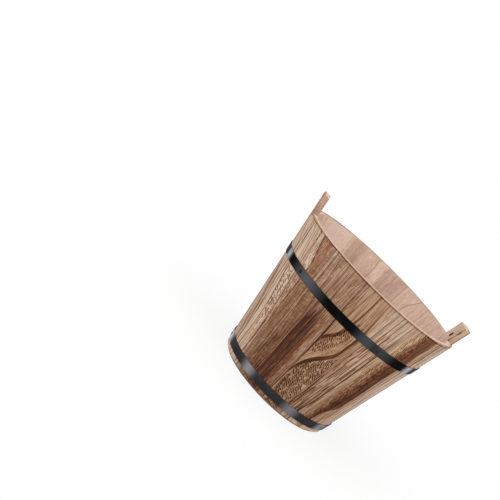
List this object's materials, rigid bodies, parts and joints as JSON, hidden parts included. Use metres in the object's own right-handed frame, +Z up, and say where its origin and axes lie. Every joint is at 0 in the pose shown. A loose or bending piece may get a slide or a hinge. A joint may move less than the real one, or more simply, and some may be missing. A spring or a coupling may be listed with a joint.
{
  "type": "wooden barrel planter",
  "caption": "Tapered stave planter with two tall handle staves, rope holes, a boarded bottom with a drain hole and black strap hoops.",
  "frame": {"origin": "on the floor, at the middle of the round foot", "axes": "+Z up along the wall's axis, +X towards the right-hand tall stave, the tall staves on the X axis"},
  "size_m": [0.2604, 0.2498, 0.232],
  "materials": {
    "burnt_wood": "torch-burnt and brushed outside, raw inside",
    "raw_wood": "raw planed",
    "dowel_wood": "raw turned",
    "hoop_strap": "satin black paint on steel strap",
    "fastener": "black paint worn on the heads"
  },
  "bodies": {
    "root": {"stave_01": "burnt_wood", "stave_02": "burnt_wood", "stave_03": "burnt_wood", "stave_04": "burnt_wood", "stave_05": "burnt_wood", "stave_06": "burnt_wood", "stave_07": "burnt_wood", "stave_08": "burnt_wood", "stave_09": "burnt_wood", "stave_10": "burnt_wood", "stave_11": "burnt_wood", "stave_12": "burnt_wood", "stave_13": "burnt_wood", "stave_14": "burnt_wood", "stave_15": "burnt_wood", "stave_16": "burnt_wood", "stave_17": "burnt_wood", "stave_18": "burnt_wood", "handle_stave_right": "burnt_wood", "handle_stave_left": "burnt_wood", "bottom_board_front": "raw_wood", "bottom_board_middle": "raw_wood", "bottom_board_back": "raw_wood", "bottom_dowels": "dowel_wood", "upper_hoop": "hoop_strap", "lower_hoop": "hoop_strap", "upper_hoop_nails": "fastener", "lower_hoop_nails": "fastener", "upper_hoop_rivets": "fastener", "lower_hoop_rivets": "fastener"}
  },
  "joints": []
}
